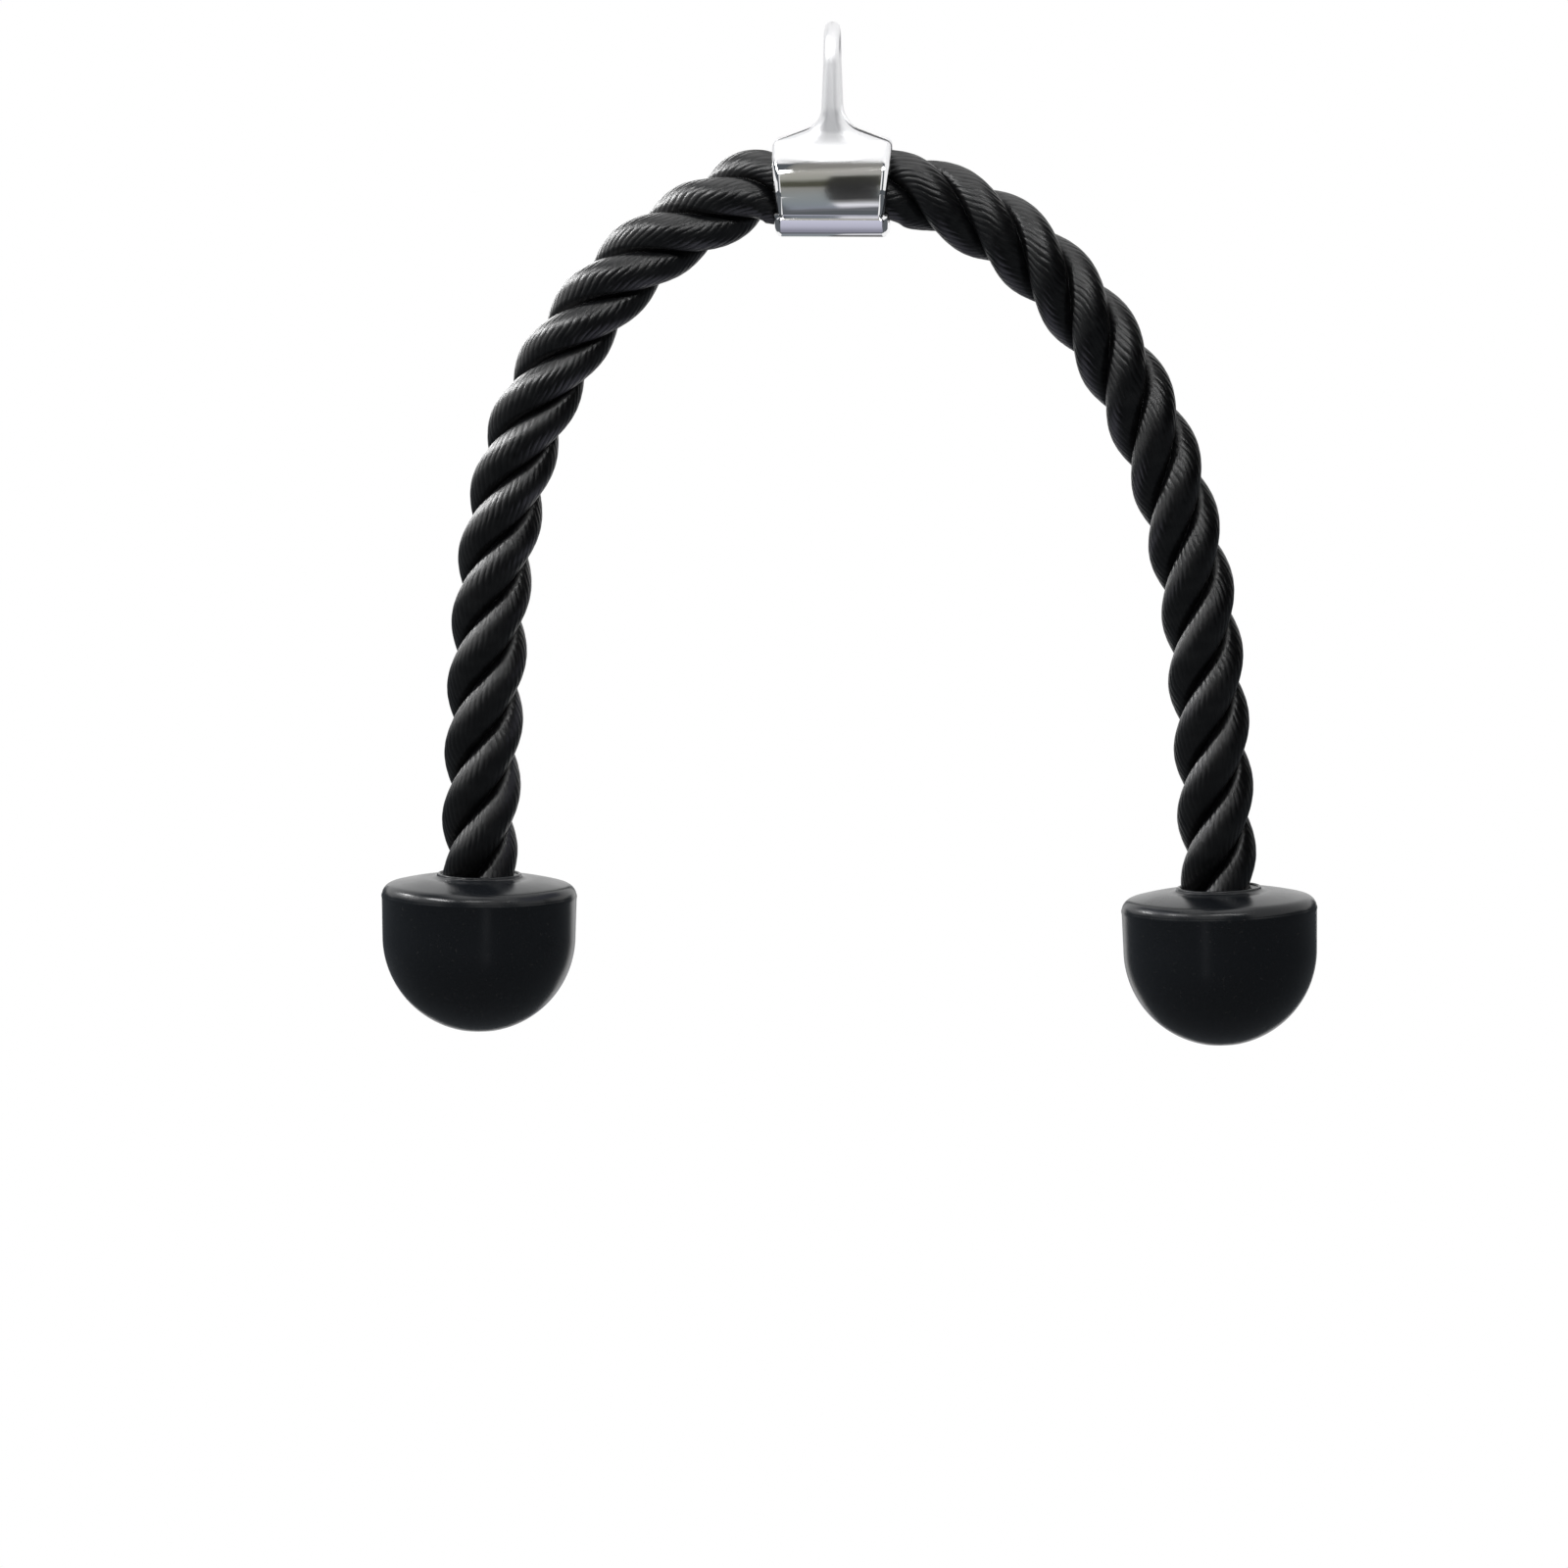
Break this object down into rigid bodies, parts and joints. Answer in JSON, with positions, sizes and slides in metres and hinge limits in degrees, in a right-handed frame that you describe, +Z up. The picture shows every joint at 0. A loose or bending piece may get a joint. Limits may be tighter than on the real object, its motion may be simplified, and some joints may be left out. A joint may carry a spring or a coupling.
{
  "type": "triceps rope cable attachment",
  "caption": "Thick black laid rope gripped at its middle by a chrome hanger strap with an eye, with a moulded rubber end ball on each hanging leg.",
  "frame": {"origin": "Top seat of the hanger's eye, where the carabiner pulls, on the middle plane of the rope.", "axes": "X runs along the sleeve from the left leg to the right leg, Z is up along the hanging legs, and the front of the hanger with its welded seam faces -Y."},
  "size_m": [0.3137, 0.0658, 0.3419],
  "materials": {
    "chrome": "polished",
    "black_nylon": "matte",
    "black_rubber": "gloss",
    "zinc_steel": "satin"
  },
  "bodies": {
    "hanger": {"hanger_strap": "chrome", "rope_center": "black_nylon"},
    "left_leg": {"rope_left_upper": "black_nylon"},
    "left_grip": {"rope_left_lower": "black_nylon", "left_end_ball": "black_rubber", "left_washer": "zinc_steel", "left_ferrule": "zinc_steel"},
    "right_leg": {"rope_right_upper": "black_nylon"},
    "right_grip": {"rope_right_lower": "black_nylon", "right_end_ball": "black_rubber", "right_washer": "zinc_steel", "right_ferrule": "zinc_steel"}
  },
  "joints": [
    {"name": "left_leg_bend", "type": "hinge", "parent": "hanger", "child": "left_leg", "pos_m": [-0.03505, 0, -0.05503], "axis": [0, 1, 0], "range_deg": [-14, 55], "stiffness_Nm_per_rad": 1.5, "springref_deg": 6.23, "deforming": ["rope_center", "rope_left_upper"]},
    {"name": "left_grip_bend", "type": "hinge", "parent": "left_leg", "child": "left_grip", "pos_m": [-0.11159, 0, -0.1695], "axis": [0, 1, 0], "range_deg": [-8.8, 34.2], "stiffness_Nm_per_rad": 1.5, "springref_deg": 0.47, "deforming": ["rope_left_lower"]},
    {"name": "right_leg_bend", "type": "hinge", "parent": "hanger", "child": "right_leg", "pos_m": [0.03561, 0, -0.05361], "axis": [0, -1, 0], "range_deg": [-15.5, 54], "stiffness_Nm_per_rad": 1.5, "springref_deg": 7.05, "deforming": ["rope_right_upper"]},
    {"name": "right_grip_bend", "type": "hinge", "parent": "right_leg", "child": "right_grip", "pos_m": [0.11715, 0, -0.16511], "axis": [0, -1, 0], "range_deg": [-9.7, 33.6], "stiffness_Nm_per_rad": 1.5, "springref_deg": 0.88, "deforming": ["rope_right_lower"]}
  ],
  "couplings": [
    {"joint": "left_grip_bend", "follows": "left_leg_bend", "ratio": 0.62},
    {"joint": "right_grip_bend", "follows": "right_leg_bend", "ratio": 0.62}
  ]
}
